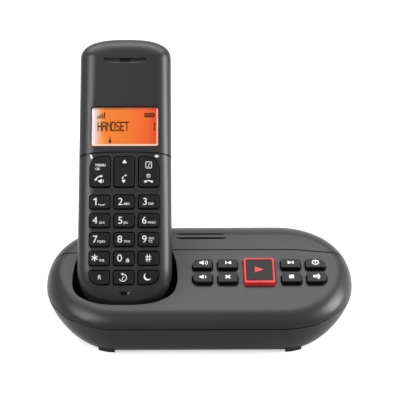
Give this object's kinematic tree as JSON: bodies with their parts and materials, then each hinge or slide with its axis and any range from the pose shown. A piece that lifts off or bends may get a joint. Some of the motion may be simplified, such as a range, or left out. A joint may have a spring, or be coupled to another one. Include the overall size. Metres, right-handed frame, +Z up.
{
  "type": "telephone answering machine",
  "caption": "Cordless handset leaning in the well of a wide, low desk base with message keys, a raised square play key and speaker slots.",
  "frame": {"origin": "middle of the footprint of base and leaning handset, on the table", "axes": "+X to the right as the user faces it, the longest side; +Y to the back, the shortest side; +Z up"},
  "size_m": [0.1614, 0.1174, 0.1295],
  "materials": {
    "housing": "fine-textured moulded ABS, charcoal",
    "inner_plastic": "plain moulded ABS, black",
    "keys": "smooth satin key caps with white printed legends",
    "play_ring": "red, lit from below, satin",
    "play_plate": "dark satin plate with a red triangle",
    "key_mat": "matt silicone sheet",
    "board": "green solder mask",
    "display_lens": "clear, polished, over an orange backlight",
    "display": "orange backlit display",
    "contact_metal": "nickel-plated",
    "cell_sleeve": "green film sleeve over a metal can",
    "feet": "matt rubber"
  },
  "bodies": {
    "base": {"base_bottom_housing": "housing", "base_top_cover": "housing", "base_rear_cover": "housing", "cradle_well": "inner_plastic", "base_circuit_board": "board", "base_key_mat": "key_mat", "loudspeaker": "inner_plastic", "line_jack": "inner_plastic", "power_jack": "inner_plastic", "foot_front_left": "feet", "foot_rear_left": "feet", "foot_front_right": "feet", "foot_rear_right": "feet"},
    "handset": {"handset_front_upper": "housing", "handset_front_lower": "housing", "handset_rear_housing": "housing", "display_lens": "display_lens", "display_panel": "display", "earpiece_receiver": "inner_plastic", "microphone": "contact_metal", "handset_circuit_board": "board", "handset_key_mat": "key_mat", "charge_pad_left": "contact_metal", "charge_pad_right": "contact_metal", "battery_cell_left": "cell_sleeve", "battery_cell_right": "cell_sleeve", "battery_terminal_left": "contact_metal", "battery_terminal_right": "contact_metal", "battery_bridge": "contact_metal"},
    "battery_door": {"battery_door": "housing"},
    "play_key": {"play_key": "play_ring", "play_key_plate": "play_plate"},
    "volume_up_key": {"volume_up_key": "keys"},
    "previous_key": {"previous_key": "keys"},
    "next_key": {"next_key": "keys"},
    "answer_on_off_key": {"answer_on_off_key": "keys"},
    "volume_down_key": {"volume_down_key": "keys"},
    "delete_key": {"delete_key": "keys"},
    "stop_key": {"stop_key": "keys"},
    "find_handset_key": {"find_handset_key": "keys"},
    "cradle_contact_left": {"cradle_contact_left": "contact_metal"},
    "cradle_contact_right": {"cradle_contact_right": "contact_metal"},
    "menu_call_rocker": {"menu_call_rocker": "keys"},
    "up_down_rocker": {"up_down_rocker": "keys"},
    "phonebook_end_rocker": {"phonebook_end_rocker": "keys"},
    "key_1": {"key_1": "keys"},
    "key_2": {"key_2": "keys"},
    "key_3": {"key_3": "keys"},
    "key_4": {"key_4": "keys"},
    "key_5": {"key_5": "keys"},
    "key_6": {"key_6": "keys"},
    "key_7": {"key_7": "keys"},
    "key_8": {"key_8": "keys"},
    "key_9": {"key_9": "keys"},
    "key_star": {"key_star": "keys"},
    "key_0": {"key_0": "keys"},
    "key_hash": {"key_hash": "keys"},
    "recall_key": {"recall_key": "keys"},
    "redial_key": {"redial_key": "keys"},
    "mute_key": {"mute_key": "keys"}
  },
  "joints": [
    {"name": "handset_lift", "type": "slide", "parent": "base", "child": "handset", "axis": [0, 0.6428, 0.766], "range_m": [0, 0.06]},
    {"name": "battery_door_slide", "type": "slide", "parent": "handset", "child": "battery_door", "axis": [0, -0.6875, -0.7262], "range_m": [0, 0.005]},
    {"name": "volume_up_key_press", "type": "slide", "parent": "base", "child": "volume_up_key", "axis": [0, 0.1685, -0.9857], "range_m": [0, 0.001], "stiffness_N_per_m": 300},
    {"name": "previous_key_press", "type": "slide", "parent": "base", "child": "previous_key", "axis": [0, 0.1685, -0.9857], "range_m": [0, 0.001], "stiffness_N_per_m": 300},
    {"name": "next_key_press", "type": "slide", "parent": "base", "child": "next_key", "axis": [0, 0.1685, -0.9857], "range_m": [0, 0.001], "stiffness_N_per_m": 300},
    {"name": "answer_on_off_key_press", "type": "slide", "parent": "base", "child": "answer_on_off_key", "axis": [0, 0.1685, -0.9857], "range_m": [0, 0.001], "stiffness_N_per_m": 300},
    {"name": "volume_down_key_press", "type": "slide", "parent": "base", "child": "volume_down_key", "axis": [0, 0.1685, -0.9857], "range_m": [0, 0.001], "stiffness_N_per_m": 300},
    {"name": "delete_key_press", "type": "slide", "parent": "base", "child": "delete_key", "axis": [0, 0.1685, -0.9857], "range_m": [0, 0.001], "stiffness_N_per_m": 300},
    {"name": "stop_key_press", "type": "slide", "parent": "base", "child": "stop_key", "axis": [0, 0.1685, -0.9857], "range_m": [0, 0.001], "stiffness_N_per_m": 300},
    {"name": "find_handset_key_press", "type": "slide", "parent": "base", "child": "find_handset_key", "axis": [0, 0.1685, -0.9857], "range_m": [0, 0.001], "stiffness_N_per_m": 300},
    {"name": "play_key_press", "type": "slide", "parent": "base", "child": "play_key", "axis": [0, 0.1685, -0.9857], "range_m": [0, 0.001], "stiffness_N_per_m": 300},
    {"name": "cradle_contact_left_press", "type": "slide", "parent": "base", "child": "cradle_contact_left", "axis": [0, -0.6428, -0.766], "range_m": [0, 0.001], "stiffness_N_per_m": 300},
    {"name": "cradle_contact_right_press", "type": "slide", "parent": "base", "child": "cradle_contact_right", "axis": [0, -0.6428, -0.766], "range_m": [0, 0.001], "stiffness_N_per_m": 300},
    {"name": "menu_call_rocker_tilt", "type": "hinge", "parent": "handset", "child": "menu_call_rocker", "pos_m": [-0.05135, 0.00038, 0.07408], "axis": [1, 0, 0], "range_deg": [-3, 3], "stiffness_Nm_per_rad": 0.02},
    {"name": "up_down_rocker_tilt", "type": "hinge", "parent": "handset", "child": "up_down_rocker", "pos_m": [-0.03875, 0.00038, 0.07408], "axis": [1, 0, 0], "range_deg": [-3, 3], "stiffness_Nm_per_rad": 0.02},
    {"name": "phonebook_end_rocker_tilt", "type": "hinge", "parent": "handset", "child": "phonebook_end_rocker", "pos_m": [-0.02615, 0.00038, 0.07408], "axis": [1, 0, 0], "range_deg": [-3, 3], "stiffness_Nm_per_rad": 0.02},
    {"name": "key_1_press", "type": "slide", "parent": "handset", "child": "key_1", "axis": [0, 0.766, -0.6428], "range_m": [0, 0.0007], "stiffness_N_per_m": 300},
    {"name": "key_2_press", "type": "slide", "parent": "handset", "child": "key_2", "axis": [0, 0.766, -0.6428], "range_m": [0, 0.0007], "stiffness_N_per_m": 300},
    {"name": "key_3_press", "type": "slide", "parent": "handset", "child": "key_3", "axis": [0, 0.766, -0.6428], "range_m": [0, 0.0007], "stiffness_N_per_m": 300},
    {"name": "key_4_press", "type": "slide", "parent": "handset", "child": "key_4", "axis": [0, 0.766, -0.6428], "range_m": [0, 0.0007], "stiffness_N_per_m": 300},
    {"name": "key_5_press", "type": "slide", "parent": "handset", "child": "key_5", "axis": [0, 0.766, -0.6428], "range_m": [0, 0.0007], "stiffness_N_per_m": 300},
    {"name": "key_6_press", "type": "slide", "parent": "handset", "child": "key_6", "axis": [0, 0.766, -0.6428], "range_m": [0, 0.0007], "stiffness_N_per_m": 300},
    {"name": "key_7_press", "type": "slide", "parent": "handset", "child": "key_7", "axis": [0, 0.766, -0.6428], "range_m": [0, 0.0007], "stiffness_N_per_m": 300},
    {"name": "key_8_press", "type": "slide", "parent": "handset", "child": "key_8", "axis": [0, 0.766, -0.6428], "range_m": [0, 0.0007], "stiffness_N_per_m": 300},
    {"name": "key_9_press", "type": "slide", "parent": "handset", "child": "key_9", "axis": [0, 0.766, -0.6428], "range_m": [0, 0.0007], "stiffness_N_per_m": 300},
    {"name": "key_star_press", "type": "slide", "parent": "handset", "child": "key_star", "axis": [0, 0.766, -0.6428], "range_m": [0, 0.0007], "stiffness_N_per_m": 300},
    {"name": "key_0_press", "type": "slide", "parent": "handset", "child": "key_0", "axis": [0, 0.766, -0.6428], "range_m": [0, 0.0007], "stiffness_N_per_m": 300},
    {"name": "key_hash_press", "type": "slide", "parent": "handset", "child": "key_hash", "axis": [0, 0.766, -0.6428], "range_m": [0, 0.0007], "stiffness_N_per_m": 300},
    {"name": "recall_key_press", "type": "slide", "parent": "handset", "child": "recall_key", "axis": [0, 0.766, -0.6428], "range_m": [0, 0.0007], "stiffness_N_per_m": 300},
    {"name": "redial_key_press", "type": "slide", "parent": "handset", "child": "redial_key", "axis": [0, 0.766, -0.6428], "range_m": [0, 0.0007], "stiffness_N_per_m": 300},
    {"name": "mute_key_press", "type": "slide", "parent": "handset", "child": "mute_key", "axis": [0, 0.766, -0.6428], "range_m": [0, 0.0007], "stiffness_N_per_m": 300}
  ]
}
